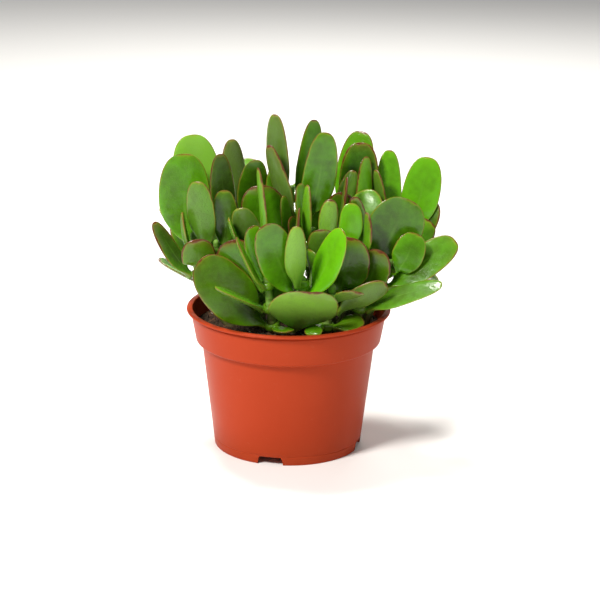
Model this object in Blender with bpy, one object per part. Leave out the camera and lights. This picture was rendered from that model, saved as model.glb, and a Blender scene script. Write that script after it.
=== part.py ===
"""A young jade plant in a tapered plastic nursery pot.

Several forked stems are rooted in the soil. Each leaf pair is one piece: two
thick spoon-shaped leaves joined by the ring that clasps the stem.
X is to the right, -Y is the front, +Z is up. Working sizes are millimetres.
"""
import math

import bmesh
import bpy
import numpy as np
from mathutils import Vector
from mathutils.bvhtree import BVHTree

MM = 0.001

# ---------------------------------------------------------------- the pot
POT_HEIGHT = 73.2
LIP_RADIUS = 52.5
LIP_WIDTH = 3.2
LIP_DEPTH = 1.3
BAND_TOP_RADIUS = 50.3
BAND_FOOT_RADIUS = 47.7
BAND_FOOT_Z = 57.0
BODY_TOP_RADIUS = 44.5
BODY_TOP_Z = 54.6
FOOT_RADIUS = 37.9
WALL = 1.2
FLOOR_Z = 5.0
FLOOR_THICKNESS = 1.3
POT_SIDES = 48
NOTCH_WIDTH = 13.0
NOTCH_HEIGHT = 4.4
NOTCH_BEARINGS = (-103.0, -13.0, 77.0, 167.0)
DRAIN_RADIUS = 4.0
DRAIN_CIRCLE = 24.0
DRAIN_BEARINGS = (-58.0, 32.0, 122.0, 212.0)

# --------------------------------------------------------------- the soil
GAP = 0.3
SOIL_TOP = 63.5
SOIL_CROWN = 2.0
SOIL_LUMP = 0.7
SOIL_SIDES = 24
SOIL_RINGS = (10.0, 20.0, 30.0, 39.0)

# -------------------------------------------------------------- the stems
STEM_FOOT_RADIUS = 2.9
STEM_TIP_RADIUS = 1.7
STEM_SIDES = 6
STEM_STEP = 14.0
ROOT_Z = 50.0

# Each stem is a main shoot and the side shoots forking from it underground.
STEMS = {
    "front": {
        "A": [(2, -12, 50), (3, -18, 68), (6, -24, 84), (7, -25, 96)],
        "B": [(1, -12, 53), (-8, -20, 67), (-9, -25, 80), (-11, -26, 96)],
    },
    "left": {
        "C": [(-17, -6, 50), (-15, -12, 72), (-16, -13, 90), (-18, -12, 107)],
        "P": [(-16, -5, 53), (-13, 1, 82), (-17, 2, 106)],
        "D": [(-18, -6, 53), (-36, -7, 72), (-46, -6, 90), (-49, -3, 112)],
        "E": [(-18, -6, 54), (-27, -1, 74), (-36, -6, 96), (-37, -10, 110)],
    },
    "back_left": {
        "F": [(-23, 14, 50), (-31, 15, 85), (-39, 15, 124)],
        "G": [(-22, 14, 53), (-23, 11, 85), (-27, 8, 118)],
        "O": [(-21, 14, 53), (-13, 13, 84), (-13, 12, 114)],
        "Z": [(-24, 15, 53), (-34, 24, 74), (-42, 30, 98)],
    },
    "centre": {
        "H": [(3, 2, 50), (4, 4, 85), (6, 6, 125)],
        "I": [(3, 3, 53), (-2, 15, 85), (1, 18, 132)],
        "L": [(3, 2, 54), (12, -4, 80), (12, -5, 116)],
    },
    "right_centre": {
        "M": [(19, -7, 50), (22, -11, 84), (25, -7, 113)],
        "N": [(19, -6, 53), (25, 3, 85), (28, 5, 116)],
        "T": [(20, -6, 54), (36, 1, 84), (43, 7, 115)],
    },
    "right": {
        "R": [(33, -8, 50), (43, -8, 78), (52, -7, 100)],
        "W": [(33, -9, 53), (34, -8, 80), (35, -8, 110)],
    },
    "back_right": {
        "J": [(20, 20, 50), (19, 25, 85), (22, 26, 122)],
        "K": [(21, 20, 53), (27, 17, 85), (28, 17, 121)],
        "S": [(22, 20, 54), (44, 17, 82), (56, 19, 104), (58, 20, 113)],
        "Q": [(22, 21, 52), (32, 29, 74), (42, 35, 98)],
    },
    "front_right": {
        "U": [(17, -20, 50), (19, -22, 68), (21, -24, 84), (22, -26, 92)],
        "V": [(18, -19, 53), (34, -15, 66), (37, -18, 84)],
    },
    "back": {
        "X": [(-4, 31, 50), (-13, 36, 80), (-15, 38, 106)],
        "Y": [(-2, 31, 53), (12, 37, 79), (15, 38, 104)],
    },
}

# ------------------------------------------------------------- the leaves
RING_WALL = 1.2
RING_HEIGHT = 4.2
RING_SIDES = 6
RING_SWELL = 0.35
BORE_GAP = 0.35
LEAF_THICKNESS = 3.3
UPPER_SHARE = 0.36
SHOULDER = 0.27
CUP = 0.035
STALK_WIDTH = 4.0
STATIONS = (0.13, 0.32, 0.54, 0.76, 0.93)
LEAN_OUT = 0.13
LEAN_UP = 0.16
LEAST_OUT = 5.0
CLEARANCE = 0.3

# A leaf is (tip x, tip y, tip z, width, bearing its upper side faces, raise).
# A leaf marked FREE gives way first where leaves crowd each other.
# NATURAL turns the upper side to the stem that the leaf grows from.
VIEW, AWAY, SIDE = -90, 90, 0
NATURAL = None
FREE = True
PAIRS = [
    ("A", 70, (11, -47, 95, 32, AWAY, 50), (10, 0, 88, 14, NATURAL, 45, FREE)),
    ("A", 86, (-12, -31, 125, 19, VIEW, 25), (26, -28, 121, 18, VIEW, 25)),
    ("A", 93, (4, -38, 126, 10, AWAY, 30), (5, -13, 129, 9, SIDE, 20)),
    ("B", 70, (-47, -27, 103, 24, VIEW, 30), (0, -35, 73, 9, NATURAL, 60, FREE)),
    ("B", 80, (-36, -42, 95, 10, VIEW, 80), (-2, -8, 98, 12, NATURAL, 40, FREE)),
    ("B", 92, (-26, -34, 119, 9, SIDE, 10), (-20, -21, 121, 12, VIEW, 25)),
    ("C", 82, (-29, -23, 117, 21, VIEW, 25), (-4, 2, 112, 16, NATURAL, 30, FREE)),
    ("C", 103, (-16, -15, 150, 8, 20, 15), (-30, -8, 124, 10, NATURAL, 30, FREE)),
    ("P", 101, (-17, 6, 139, 26, VIEW, 25), (-25, -11, 128, 13, AWAY, 30)),
    ("O", 110, (-20, 11, 148, 16, VIEW, 25), (-14, 4, 130, 9, NATURAL, 30, FREE)),
    ("D", 92, (-69, -3, 118, 9, -60, 30), (-47, -17, 113, 16, VIEW, 30)),
    ("D", 106, (-54, 5, 152, 24, VIEW, 25), (-54, -9, 125, 8, SIDE, 20)),
    ("E", 105, (-46, -13, 142, 14, 70, 20), (-38, 3, 134, 12, NATURAL, 30, FREE)),
    ("F", 118, (-51, 18, 159, 22, VIEW, 45), (-18, 40, 140, 16, NATURAL, 30, FREE)),
    ("G", 114, (-36, 1, 153, 14, -55, 20), (-31, 23, 155, 13, AWAY, 30)),
    ("H", 104, (-4, -3, 134, 8, -60, 20), (16, 16, 134, 12, NATURAL, 30, FREE)),
    ("H", 119, (-11, 5, 157, 10, 60, 20), (18, 12, 162, 17, VIEW, 20)),
    ("I", 112, (-8, 9, 145, 12, VIEW, 20), (4, 42, 136, 16, NATURAL, 40, FREE)),
    ("I", 126, (-8, 14, 171, 12, 60, 20), (12, 25, 166, 12, -60, 20)),
    ("J", 117, (37, 30, 159, 18, -110, 25), (12, 40, 144, 14, NATURAL, 30, FREE)),
    ("K", 116, (40, 21, 152, 19, -100, 25), (25, 10, 142, 10, NATURAL, 30, FREE)),
    ("L", 112, (9, -9, 140, 8, 30, 15), (5, 5, 136, 8, VIEW, 20)),
    ("L", 98, (20, -17, 120, 14, AWAY, 30), (2, 2, 122, 11, NATURAL, 30, FREE)),
    ("M", 85, (31, -17, 115, 21, VIEW, 25), (10, -14, 106, 12, NATURAL, 30, FREE)),
    ("M", 108, (21, -11, 133, 9, AWAY, 20), (31, -10, 131, 11, VIEW, 20)),
    ("N", 112, (26, 9, 136, 14, VIEW, 20), (29, 0, 142, 8, SIDE, 10)),
    ("T", 110, (41, 0, 135, 18, AWAY, 30), (39, 16, 149, 9, -60, 20)),
    ("W", 106, (39, -13, 127, 8, 20, 15), (36, 1, 130, 9, VIEW, 20)),
    ("W", 84, (45, -14, 108, 16, VIEW, 30), (24, 2, 104, 12, NATURAL, 40, FREE)),
    ("R", 79, (76, 0, 90, 19, VIEW, 70), (30, 12, 96, 12, NATURAL, 60, FREE)),
    ("R", 88, (85, -6, 111, 18, VIEW, 30), (73, 15, 115, 17, -100, 30)),
    ("R", 96, (61, -3, 132, 27, VIEW, 25), (64, -10, 116, 15, VIEW, 30)),
    ("S", 100, (75, 24, 124, 15, -110, 25), (44, 12, 143, 10, 30, 15)),
    ("S", 109, (71, 25, 147, 18, VIEW, 20), (51, 27, 150, 12, VIEW, 20)),
    ("U", 70, (40, -27, 74, 12, VIEW, 60), (6, -34, 71, 9, NATURAL, 60, FREE)),
    ("U", 78, (48, -29, 94, 13, AWAY, 45), (12, -10, 94, 11, NATURAL, 50, FREE)),
    ("U", 87, (35, -40, 93, 12, AWAY, 60), None),
    ("V", 78, (77, -28, 94, 13, VIEW, 60), (18, -12, 90, 10, NATURAL, 50, FREE)),
    ("F", 100, (-58, 30, 124, 19, NATURAL, 40, FREE), (-8, 26, 120, 14, NATURAL, 40, FREE)),
    ("Z", 76, (-68, 18, 92, 19, NATURAL, 60, FREE), (-34, 56, 90, 19, NATURAL, 60, FREE)),
    ("Z", 86, (-60, 48, 104, 19, NATURAL, 50, FREE), (-42, 8, 110, 14, NATURAL, 50, FREE)),
    ("Z", 95, (-68, 34, 116, 16, NATURAL, 50, FREE), (-30, 40, 120, 16, NATURAL, 50, FREE)),
    ("X", 80, (-24, 66, 94, 19, NATURAL, 60, FREE), (-14, 14, 108, 14, NATURAL, 50, FREE)),
    ("X", 91, (-38, 52, 112, 18, NATURAL, 50, FREE), (6, 50, 112, 16, NATURAL, 50, FREE)),
    ("X", 102, (-18, 56, 122, 17, NATURAL, 50, FREE), (-10, 26, 128, 14, NATURAL, 40, FREE)),
    ("Y", 80, (18, 66, 96, 19, NATURAL, 60, FREE), (8, 16, 108, 12, NATURAL, 50, FREE)),
    ("Y", 91, (38, 56, 108, 17, NATURAL, 50, FREE), (-6, 46, 108, 12, NATURAL, 50, FREE)),
    ("Q", 80, (66, 36, 96, 19, NATURAL, 60, FREE), (28, 62, 100, 18, NATURAL, 50, FREE)),
    ("Q", 92, (54, 60, 112, 18, NATURAL, 50, FREE), (40, 24, 116, 14, NATURAL, 50, FREE)),
]

# -------------------------------------------- parting leaves that would touch
SETTLE_SEED = 27
SETTLE_ROUNDS = 60
FREE_FIRST = 6
TRIES = 20
FREE_STEP = (4.5, 4.5, 3.5)
PLACED_STEP = (1.2, 4.5, 1.2)
STEP_GROWTH = 0.04
DEPTH_DROP = 0.3
TWIST_STEP = math.radians(12)
MAX_TWIST = 0.9
TRIM_FROM = 3
TRIM_STEP = 0.05
LEAST_FREE, LEAST_PLACED = 0.55, 0.8
# Prices of leaving the first place, per millimetre, radian or part of the size.
STRAY = 7.0
FREE_RISE = 3.0
FREE_MOVE, FREE_TRIM = 0.04, 4.0
PLACED_ACROSS, PLACED_DEPTH, PLACED_FAR = 0.35, 0.06, 1.5
PLACED_TWIST, PLACED_TRIM = 7.0, 70.0


def unit(v):
    v = np.asarray(v, float)
    return v / max(np.linalg.norm(v), 1e-12)


def material(name, colour, roughness):
    m = bpy.data.materials.new(name)
    m.use_nodes = True
    shader = m.node_tree.nodes["Principled BSDF"]
    shader.inputs["Base Color"].default_value = (*colour, 1.0)
    shader.inputs["Roughness"].default_value = roughness
    shader.inputs["Metallic"].default_value = 0.0
    m.diffuse_color = (*colour, 1.0)
    return m


def solid(name, verts, faces, mat=None):
    """One object from millimetre points, its faces turned outwards."""
    mesh = bpy.data.meshes.new(name)
    mesh.from_pydata([tuple(np.asarray(v) * MM) for v in verts], [], faces)
    bm = bmesh.new()
    bm.from_mesh(mesh)
    bmesh.ops.recalc_face_normals(bm, faces=bm.faces)
    if bm.calc_volume(signed=True) < 0:
        bmesh.ops.reverse_faces(bm, faces=bm.faces)
    bm.to_mesh(mesh)
    bm.free()
    ob = bpy.data.objects.new(name, mesh)
    bpy.context.scene.collection.objects.link(ob)
    if mat:
        mesh.materials.append(mat)
    return ob


def combine(ob, others, operation):
    """Add the other solids to ob, or cut them from it, and remove them."""
    for other in others:
        other.hide_render = True
        other.display_type = "WIRE"
        mod = ob.modifiers.new("join", "BOOLEAN")
        mod.operation = operation
        mod.solver = "EXACT"
        mod.object = other
    graph = bpy.context.evaluated_depsgraph_get()
    mesh = bpy.data.meshes.new_from_object(ob.evaluated_get(graph))
    ob.modifiers.clear()
    old = ob.data
    ob.data = mesh
    bpy.data.meshes.remove(old)
    mesh.name = ob.name
    for other in others:
        data = other.data
        bpy.data.objects.remove(other)
        bpy.data.meshes.remove(data)
    return ob


def revolve(profile, sides):
    """Points and faces of a profile of (radius, z), open or meeting the axis."""
    verts, rows, faces = [], [], []
    for r, z in profile:
        if r <= 0:
            verts.append((0, 0, z))
            rows.append([len(verts) - 1] * sides)
            continue
        rows.append(list(range(len(verts), len(verts) + sides)))
        for k in range(sides):
            a = 2 * math.pi * k / sides
            verts.append((r * math.cos(a), r * math.sin(a), z))
    for lower, upper in zip(rows, rows[1:]):
        for k in range(sides):
            n = (k + 1) % sides
            loop = [lower[k], lower[n], upper[n], upper[k]]
            faces.append(list(dict.fromkeys(loop)))
    return verts, faces


def prism(centre, half, bearing):
    """A box with its own bearing about the vertical."""
    c, s = math.cos(math.radians(bearing)), math.sin(math.radians(bearing))
    verts = []
    for sx, sy, sz in [(x, y, z) for x in (-1, 1) for y in (-1, 1) for z in (-1, 1)]:
        x, y, z = sx * half[0], sy * half[1], sz * half[2]
        verts.append((centre[0] + c * x - s * y, centre[1] + s * x + c * y, centre[2] + z))
    faces = [(0, 1, 3, 2), (4, 6, 7, 5), (0, 4, 5, 1), (2, 3, 7, 6), (0, 2, 6, 4), (1, 5, 7, 3)]
    return verts, faces


def pot_inside(z):
    """Inner radius of the pot at a height."""
    if z >= BAND_FOOT_Z:
        t = (z - BAND_FOOT_Z) / (POT_HEIGHT - BAND_FOOT_Z)
        return BAND_FOOT_RADIUS + (BAND_TOP_RADIUS - BAND_FOOT_RADIUS) * t - WALL
    if z >= BODY_TOP_Z:
        t = (z - BODY_TOP_Z) / (BAND_FOOT_Z - BODY_TOP_Z)
        return BODY_TOP_RADIUS + (BAND_FOOT_RADIUS - BODY_TOP_RADIUS) * t - WALL
    return FOOT_RADIUS + (BODY_TOP_RADIUS - FOOT_RADIUS) * z / BODY_TOP_Z - WALL


def make_pot():
    lip_in = LIP_RADIUS - LIP_WIDTH
    top, under = POT_HEIGHT, POT_HEIGHT - LIP_DEPTH
    floor_top = FLOOR_Z + FLOOR_THICKNESS
    foot_in = FOOT_RADIUS - WALL
    profile = [
        (0, FLOOR_Z),
        (14, FLOOR_Z),
        (foot_in + 0.4, FLOOR_Z),
        (foot_in, 0),
        (FOOT_RADIUS - 0.3, 0),
        (FOOT_RADIUS, 0.4),
        (BODY_TOP_RADIUS, BODY_TOP_Z),
        (BAND_FOOT_RADIUS - 0.5, BAND_FOOT_Z - 0.5),
        (BAND_FOOT_RADIUS, BAND_FOOT_Z + 0.4),
        (BAND_TOP_RADIUS, under - 0.3),
        (LIP_RADIUS - 0.3, under),
        (LIP_RADIUS, under + 0.4),
        (LIP_RADIUS - 0.5, top),
        (lip_in + 0.3, top),
        (lip_in, top - 0.4),
        (BAND_FOOT_RADIUS - WALL, BAND_FOOT_Z),
        (BODY_TOP_RADIUS - WALL, BODY_TOP_Z),
        (pot_inside(floor_top), floor_top),
        (14, floor_top),
        (0, floor_top),
    ]
    verts, faces = revolve(profile, POT_SIDES)
    pot = solid("pot", verts, faces, material("terracotta plastic", (0.66, 0.13, 0.05), 0.38))
    cutters = []
    for bearing in NOTCH_BEARINGS:
        a = math.radians(bearing)
        centre = (FOOT_RADIUS * math.cos(a), FOOT_RADIUS * math.sin(a), 0)
        half = (4.0, NOTCH_WIDTH / 2, NOTCH_HEIGHT)
        v, f = prism(centre, half, bearing)
        cutters.append(solid("notch", v, f))
    for bearing in DRAIN_BEARINGS:
        a = math.radians(bearing)
        ring = [(0, FLOOR_Z - 1), (DRAIN_RADIUS, FLOOR_Z - 1)]
        ring += [(DRAIN_RADIUS, floor_top + 1), (0, floor_top + 1)]
        v, f = revolve(ring, 16)
        move = np.array([DRAIN_CIRCLE * math.cos(a), DRAIN_CIRCLE * math.sin(a), 0])
        cutters.append(solid("drain", [np.array(p) + move for p in v], f))
    return combine(pot, cutters, "DIFFERENCE")


def soil_height(x, y):
    r = math.hypot(x, y) / pot_inside(SOIL_TOP)
    lumps = math.sin(0.31 * x + 1.3) * math.cos(0.27 * y - 0.4)
    lumps += 0.6 * math.sin(0.53 * x - 0.41 * y)
    return SOIL_TOP + SOIL_CROWN * (1 - r * r) + SOIL_LUMP * lumps * (1 - r**4)


def make_soil():
    bottom = FLOOR_Z + FLOOR_THICKNESS + GAP
    profile = [(0, bottom), (pot_inside(bottom) - GAP, bottom)]
    profile += [(BODY_TOP_RADIUS - WALL - GAP, BODY_TOP_Z)]
    profile += [(BAND_FOOT_RADIUS - WALL - GAP, BAND_FOOT_Z + 0.3)]
    profile += [(pot_inside(SOIL_TOP) - GAP, SOIL_TOP)]
    profile += [(r, SOIL_TOP) for r in reversed(SOIL_RINGS)] + [(0, SOIL_TOP)]
    verts, faces = revolve(profile, SOIL_SIDES)
    verts = [(x, y, soil_height(x, y) if z == SOIL_TOP else z) for x, y, z in verts]
    return solid("soil", verts, faces, material("potting soil", (0.07, 0.045, 0.03), 0.95))


def smooth_path(points):
    """A rounded line through the points, in steps of about STEM_STEP."""
    pts = [np.array(p, float) for p in points]
    ext = [2 * pts[0] - pts[1]] + pts + [2 * pts[-1] - pts[-2]]
    line = []
    for a, b, c, d in zip(ext, ext[1:], ext[2:], ext[3:]):
        n = max(1, round(np.linalg.norm(c - b) / STEM_STEP))
        for k in range(n):
            t = k / n
            line.append(0.5 * (2 * b + (c - a) * t + (2 * a - 5 * b + 4 * c - d) * t**2
                               + (3 * b - a - 3 * c + d) * t**3))
    line.append(pts[-1])
    return np.array(line)


def stem_radius(z):
    t = min(max((z - ROOT_Z) / 65.0, 0.0), 1.0)
    return STEM_FOOT_RADIUS + (STEM_TIP_RADIUS - STEM_FOOT_RADIUS) * t


def tube(line, extra, cap=1.0):
    """Points and faces of a round rod along a line, domed at its top."""
    verts, faces = [], []
    tangents = np.gradient(line, axis=0)
    ref = np.array([1.0, 0.0, 0.0])
    rows = []
    foot = line[0] - unit(tangents[0]) * extra
    line = np.concatenate([foot[None], line[1:]])
    stations = [(p, t, stem_radius(p[2]) + extra) for p, t in zip(line, tangents)]
    end, run = line[-1], unit(tangents[-1])
    stations.append((end + run * cap, run, (stem_radius(end[2]) + extra) * 0.6))
    for p, t, r in stations:
        t = unit(t)
        e1 = unit(ref - t * ref.dot(t))
        e2 = np.cross(t, e1)
        rows.append(list(range(len(verts), len(verts) + STEM_SIDES)))
        for k in range(STEM_SIDES):
            a = 2 * math.pi * k / STEM_SIDES
            verts.append(p + (e1 * math.cos(a) + e2 * math.sin(a)) * r)
    for lower, upper in zip(rows, rows[1:]):
        for k in range(STEM_SIDES):
            n = (k + 1) % STEM_SIDES
            faces.append([lower[k], lower[n], upper[n], upper[k]])
    for row, p in ((rows[0], line[0]), (rows[-1], end + run * cap * 1.4)):
        verts.append(p)
        for k in range(STEM_SIDES):
            faces.append([row[k], row[(k + 1) % STEM_SIDES], len(verts) - 1])
    return verts, faces


LINES = {k: smooth_path(p) for shoots in STEMS.values() for k, p in shoots.items()}


def point_at(line, z):
    return np.array([np.interp(z, line[:, 2], line[:, axis]) for axis in range(3)])


def node_on(shoot, z):
    """Place and direction of a shoot at a height."""
    line = LINES[shoot]
    low = max(z - RING_HEIGHT, line[0, 2])
    high = min(z + RING_HEIGHT, line[-1, 2])
    return point_at(line, z), unit(point_at(line, high) - point_at(line, low))


class Collar:
    """The six-sided ring at a leaf pair's foot."""

    def __init__(self, shoot, z, tip, other):
        self.centre, self.up = node_on(shoot, z)
        radius = stem_radius(z) + BORE_GAP
        self.bore = radius / math.cos(math.pi / RING_SIDES)
        self.outer = self.bore + RING_WALL
        away = np.array(tip, float) - self.centre
        self.e1 = unit(away - self.up * away.dot(self.up))
        self.e2 = np.cross(self.up, self.e1)
        self.second = 3
        if other is not None:
            away = np.array(other, float) - self.centre
            turn = math.atan2(away.dot(self.e2), away.dot(self.e1)) % (2 * math.pi)
            self.second = min(max(round(turn / (math.pi / 3)), 2), 4)
            share = min(max(turn - self.second * math.pi / 3, -1.0), 1.0) / 2
            self.e1 = self.direction(share)
            self.e2 = np.cross(self.up, self.e1)

    def direction(self, turn):
        return self.e1 * math.cos(turn) + self.e2 * math.sin(turn)

    def corner(self, k, level, swell=0.0):
        a = (k - 0.5) * 2 * math.pi / RING_SIDES
        return self.centre + self.direction(a) * (self.outer + swell) + self.up * level

    def patch(self, k):
        """The leaf's foot on side k: margin, upper, upper, margin, lower, lower."""
        h = RING_HEIGHT / 2
        return np.array([
            self.corner(k, 0, RING_SWELL), self.corner(k, h), self.corner(k + 1, h),
            self.corner(k + 1, 0, RING_SWELL), self.corner(k + 1, -h), self.corner(k, -h),
        ])


def leaf_points(collar, side, tip, width, facing, twist, fat=0.0):
    """Six points round the leaf at each station, then its tip."""
    out = collar.direction(side * math.pi / 3)
    across = unit(collar.corner(side + 1, 0) - collar.corner(side, 0))
    apothem = collar.outer * math.cos(math.pi / RING_SIDES)
    start = collar.centre + out * apothem
    length = np.linalg.norm(tip - start)
    bend = start + out * max(LEAN_OUT * length, LEAST_OUT) + collar.up * LEAN_UP * length
    f = np.array(STATIONS)[:, None]
    centre = (1 - f) ** 2 * start + 2 * f * (1 - f) * bend + f**2 * tip
    run = 2 * (1 - f) * (bend - start) + 2 * f * (tip - bend)
    run /= np.linalg.norm(run, axis=1)[:, None]
    chord = unit(tip - start)
    goal = unit(facing - chord * facing.dot(chord))
    side_axis = np.cross(chord, goal)
    goal = goal * math.cos(twist) + side_axis * math.sin(twist)
    blend = np.clip(f / 0.5, 0, 1)
    blend = blend * blend * (3 - 2 * blend)
    first = collar.up
    if first.dot(goal) < -0.2:
        mid = unit(across * (1 if across.dot(goal) > 0 else -1) + 0.3 * (first + goal))
        up = (1 - blend) ** 2 * first + 2 * blend * (1 - blend) * mid * 1.5 + blend**2 * goal
    else:
        up = (1 - blend) * first + blend * goal
    up = up - run * np.sum(up * run, axis=1)[:, None]
    up /= np.linalg.norm(up, axis=1)[:, None]
    right = np.cross(run, up)
    if right[0].dot(across) < 0:
        right = -right
    wide = 0.62 if width / length > 0.36 else 0.52
    grow = np.clip(f / wide, 0, 1)
    grow = grow * grow * (3 - 2 * grow)
    w = STALK_WIDTH + (width - STALK_WIDTH) * grow
    tail = np.clip((f - wide) / (1.03 - wide), 0, 1)
    w = w * np.sqrt(1 - tail**2) + fat
    th = LEAF_THICKNESS * (1.0 - 0.30 * f) + fat
    cup = CUP * w
    margin_l, margin_r = centre - right * w / 2 + up * cup, centre + right * w / 2 + up * cup
    shoulder = right * w * SHOULDER
    upper, lower = up * th * UPPER_SHARE, -up * th * (1 - UPPER_SHARE)
    rings = np.stack([margin_l, centre - shoulder + upper, centre + shoulder + upper,
                      margin_r, centre + shoulder + lower, centre - shoulder + lower], axis=1)
    end = tip + chord * fat / 2
    return rings, end


def leaf_faces(offset, first_ring, count):
    """Faces from the foot's six vertex numbers to the tip."""
    faces = []
    rows = [first_ring] + [[offset + 6 * i + k for k in range(6)] for i in range(count)]
    tip = offset + 6 * count
    for lower, upper in zip(rows, rows[1:]):
        for k in range(6):
            n = (k + 1) % 6
            faces.append((lower[k], lower[n], upper[n]))
            faces.append((lower[k], upper[n], upper[k]))
    for k in range(6):
        faces.append((rows[-1][k], rows[-1][(k + 1) % 6], tip))
    return faces


class Leaf:
    """One leaf while its place is being settled."""

    def __init__(self, pair, collar, side, row):
        self.pair, self.collar, self.side = pair, collar, side
        self.tip = np.array(row[:3], float)
        self.home = self.tip.copy()
        self.width = row[3]
        bearing, raised = row[4], math.radians(row[5])
        if bearing is NATURAL:
            back = collar.centre - self.tip
            bearing = math.degrees(math.atan2(back[1], back[0]))
        b = math.radians(bearing)
        self.facing = np.array([math.cos(b) * math.cos(raised),
                                math.sin(b) * math.cos(raised), math.sin(raised)])
        self.free = len(row) > 6
        self.twist = 0.0
        self.shrink = 1.0
        self.refresh()

    def tree(self, tip, twist, shrink):
        rings, end = leaf_points(self.collar, self.side, tip, self.width * shrink,
                                 self.facing, twist, fat=CLEARANCE)
        foot = self.collar.patch(self.side)
        pts = np.concatenate([foot, rings.reshape(-1, 3), end[None]])
        verts = [Vector(p) for p in pts]
        return BVHTree.FromPolygons(verts, SETTLE_FACES, all_triangles=True), pts.min(0), pts.max(0)

    def refresh(self):
        self.bvh, self.lo, self.hi = self.tree(self.tip, self.twist, self.shrink)


SETTLE_FACES = leaf_faces(6, [0, 1, 2, 3, 4, 5], len(STATIONS))
SETTLE_FACES += [(0, 2, 1), (0, 3, 2), (0, 4, 3), (0, 5, 4)]


def tree_of(verts, faces):
    """A search tree, with its lowest and highest corners."""
    tris = []
    for f in faces:
        tris += [(f[0], f[i], f[i + 1]) for i in range(1, len(f) - 1)]
    pts = np.array([tuple(v) for v in verts], float)
    tree = BVHTree.FromPolygons([Vector(p) for p in pts], tris, all_triangles=True)
    return tree, pts.min(0), pts.max(0)


def obstacles(collars):
    """Everything fixed that a leaf must stay clear of: (tree, low, high, owner)."""
    found = []
    for shoot, line in LINES.items():
        for i in range(0, len(line) - 1):
            v, f = tube(line[i:i + 2], CLEARANCE, cap=CLEARANCE)
            found.append((*tree_of(v, f), None))
    for pair, collar in collars.items():
        v = [collar.corner(k, s * (RING_HEIGHT / 2 + CLEARANCE), CLEARANCE)
             for s in (-1, 1) for k in range(6)]
        f = [(k, (k + 1) % 6, 6 + (k + 1) % 6, 6 + k) for k in range(6)]
        f += [(0, 1, 2, 3, 4, 5), (6, 7, 8, 9, 10, 11)]
        found.append((*tree_of(v, f), pair))
    rim_in, rim_out = LIP_RADIUS - LIP_WIDTH - 0.7, LIP_RADIUS + 0.7
    ring = [(pot_inside(60) - 0.7, 60), (rim_in, POT_HEIGHT), (rim_in, POT_HEIGHT + 0.6)]
    ring += [(rim_out, POT_HEIGHT + 0.6), (rim_out, 60)]
    found.append((*tree_of(*revolve(ring, 32)), None))
    skin = [(r, SOIL_TOP + SOIL_CROWN + 1.2 - 0.0008 * r * r) for r in (50, 34, 18, 0)]
    found.append((*tree_of(*revolve(skin, 16)), None))
    return found


def near(lo, hi, other_lo, other_hi):
    return bool(np.all(lo <= other_hi) and np.all(other_lo <= hi))


def clashes(tree, lo, hi, pair, others, fixed):
    """How many facets of a leaf cross those of its neighbours."""
    count = 0
    for o in others:
        if near(lo, hi, o.lo, o.hi):
            count += len(tree.overlap(o.bvh))
    for bvh, olo, ohi, owner in fixed:
        if owner != pair and near(lo, hi, olo, ohi):
            count += 2 * len(tree.overlap(bvh))
    return count


def settle(leaves, fixed):
    """Move, turn and trim leaves until none touch; a FREE one that still does is left out."""
    rng = np.random.default_rng(SETTLE_SEED)
    for turn in range(SETTLE_ROUNDS):
        busy = 0
        scale = 1.0 + STEP_GROWTH * turn
        for leaf in leaves:
            others = [o for o in leaves if o is not leaf]
            now = clashes(leaf.bvh, leaf.lo, leaf.hi, leaf.pair, others, fixed)
            leaf.touching = now > 0
            if not now:
                continue
            busy += 1
            if turn < FREE_FIRST and not leaf.free:
                continue
            reach = np.array(FREE_STEP if leaf.free else PLACED_STEP)
            least = LEAST_FREE if leaf.free else LEAST_PLACED
            best = (now + unease(leaf, leaf.tip, leaf.twist, leaf.shrink), None)
            for _ in range(TRIES):
                tip = leaf.tip + rng.normal(size=3) * reach * scale
                tip[2] -= 0.0 if leaf.free else DEPTH_DROP * (tip[1] - leaf.tip[1])
                twist = leaf.twist + rng.normal() * TWIST_STEP * scale
                twist = min(max(twist, -MAX_TWIST), MAX_TWIST)
                trim = TRIM_STEP * abs(rng.normal()) * (turn >= TRIM_FROM)
                shrink = max(leaf.shrink * (1 - trim), least)
                tree, lo, hi = leaf.tree(tip, twist, shrink)
                cost = clashes(tree, lo, hi, leaf.pair, others, fixed)
                cost += unease(leaf, tip, twist, shrink)
                if cost < best[0]:
                    best = (cost, (tip, twist, shrink))
            if best[1]:
                leaf.tip, leaf.twist, leaf.shrink = best[1]
                leaf.refresh()
        if not busy:
            break
    return [leaf for leaf in leaves if not (leaf.free and leaf.touching)]


def unease(leaf, tip, twist, shrink):
    """The price of leaving the place, turn and size first given."""
    off = np.abs(tip - leaf.home)
    if leaf.free:
        rise = max(tip[2] - leaf.home[2] - FREE_RISE, 0)
        far = np.maximum(off - STRAY, 0).sum() + rise
        return float(FREE_MOVE * off.sum() + far + FREE_TRIM * (1 - shrink))
    far = PLACED_FAR * max(off[1] - 1.5 * STRAY, 0)
    moved = PLACED_ACROSS * (off[0] + off[2]) + PLACED_DEPTH * off[1] + far
    return float(moved + PLACED_TWIST * abs(twist) + PLACED_TRIM * (1 - shrink))


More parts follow.
